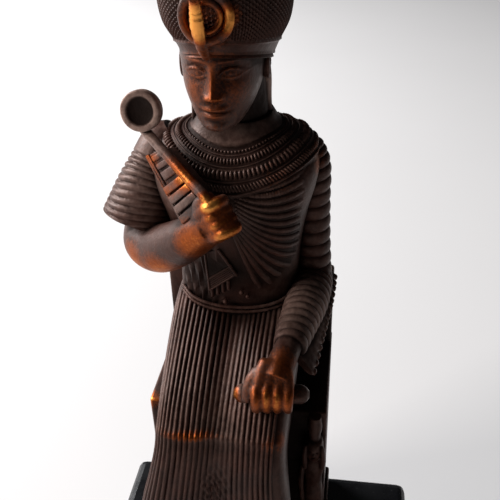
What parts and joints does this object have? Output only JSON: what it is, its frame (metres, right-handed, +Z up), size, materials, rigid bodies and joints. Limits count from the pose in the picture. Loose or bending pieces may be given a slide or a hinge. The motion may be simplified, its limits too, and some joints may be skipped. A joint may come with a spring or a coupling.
{
  "type": "bronze statuette of a seated king",
  "caption": "Seated king with tall bulbous crown, hooked sceptre and pleated robe on a block throne, in cast bronze on a square black plinth.",
  "frame": {"origin": "middle of the plinth's underside", "axes": "+Z up; -Y is the way the king faces; +X is the viewer's right, the king's left"},
  "size_m": [0.105, 0.105, 0.2248],
  "materials": {
    "bronze": "cast bronze with a dark brown patina, rubbed to warm gold on the hands, the right forearm and the raised edges",
    "black_stone": "black, polished, with rounded edges"
  },
  "bodies": {
    "root": {"figure": "bronze", "plinth": "black_stone"}
  },
  "joints": []
}
